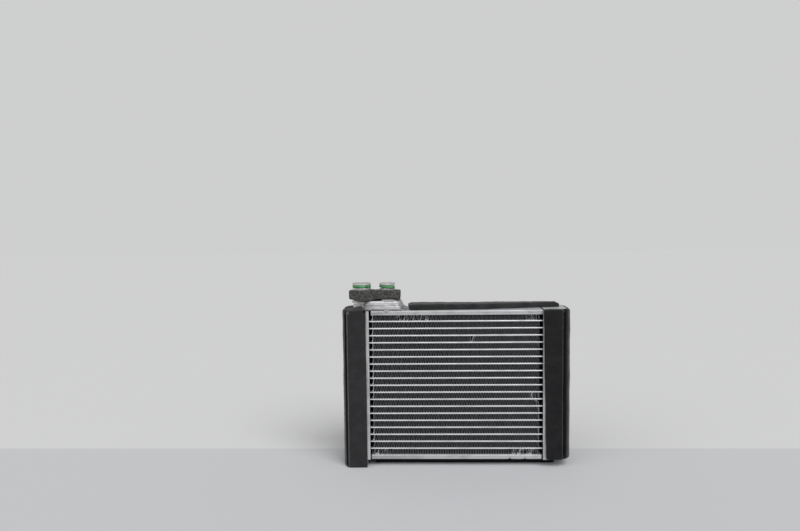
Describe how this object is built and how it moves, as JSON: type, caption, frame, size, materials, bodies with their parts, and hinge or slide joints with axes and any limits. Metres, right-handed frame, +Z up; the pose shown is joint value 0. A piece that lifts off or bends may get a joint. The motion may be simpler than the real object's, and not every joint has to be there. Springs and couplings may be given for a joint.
{
  "type": "evaporator core",
  "caption": "Upright heat-exchanger core of flat tubes and folded fins between two foam-wrapped tanks, with a pair of ringed pipe spigots on top at one end.",
  "frame": {"origin": "on the surface that the part stands on, below the middle of its bounding box", "axes": "+X along the tubes to the right seen from the front, +Y from the front face through the fins to the rear, +Z up towards the spigots"},
  "size_m": [0.2234, 0.046, 0.1799],
  "materials": {
    "tube_aluminium": "brazed bare aluminium, satin",
    "fin_aluminium": "thin coated fin sheet, dull",
    "tank_aluminium": "brazed pressed sheet, mottled satin",
    "port_aluminium": "machined and pressed, satin",
    "seal_rubber": "green rubber, oiled",
    "open_cell_foam": "dark grey open-cell foam, matt",
    "skinned_foam": "black skinned foam, slightly glossy"
  },
  "bodies": {
    "root": {"bottom_foam_strip": "skinned_foam", "bottom_plate_inner": "tank_aluminium", "bottom_plate_outer": "tank_aluminium", "fin_01": "fin_aluminium", "fin_02": "fin_aluminium", "fin_03": "fin_aluminium", "fin_04": "fin_aluminium", "fin_05": "fin_aluminium", "fin_06": "fin_aluminium", "fin_07": "fin_aluminium", "fin_08": "fin_aluminium", "fin_09": "fin_aluminium", "fin_10": "fin_aluminium", "fin_11": "fin_aluminium", "fin_12": "fin_aluminium", "fin_13": "fin_aluminium", "fin_14": "fin_aluminium", "fin_15": "fin_aluminium", "fin_16": "fin_aluminium", "fin_17": "fin_aluminium", "fin_18": "fin_aluminium", "fin_19": "fin_aluminium", "fin_20": "fin_aluminium", "left_header_plate": "tank_aluminium", "left_tank_cover": "tank_aluminium", "left_tank_foam": "skinned_foam", "liquid_pipe": "port_aluminium", "liquid_seal_ring": "seal_rubber", "passage_base": "port_aluminium", "passage_body": "port_aluminium", "port_gasket": "open_cell_foam", "right_header_plate": "tank_aluminium", "right_tank_cover": "tank_aluminium", "right_tank_foam": "skinned_foam", "suction_pipe": "port_aluminium", "suction_seal_ring": "seal_rubber", "top_foam_strip": "skinned_foam", "top_plate_inner": "tank_aluminium", "top_plate_outer": "tank_aluminium", "tube_01": "tube_aluminium", "tube_02": "tube_aluminium", "tube_03": "tube_aluminium", "tube_04": "tube_aluminium", "tube_05": "tube_aluminium", "tube_06": "tube_aluminium", "tube_07": "tube_aluminium", "tube_08": "tube_aluminium", "tube_09": "tube_aluminium", "tube_10": "tube_aluminium", "tube_11": "tube_aluminium", "tube_12": "tube_aluminium", "tube_13": "tube_aluminium", "tube_14": "tube_aluminium", "tube_15": "tube_aluminium", "tube_16": "tube_aluminium", "tube_17": "tube_aluminium", "tube_18": "tube_aluminium", "tube_19": "tube_aluminium"}
  },
  "joints": []
}
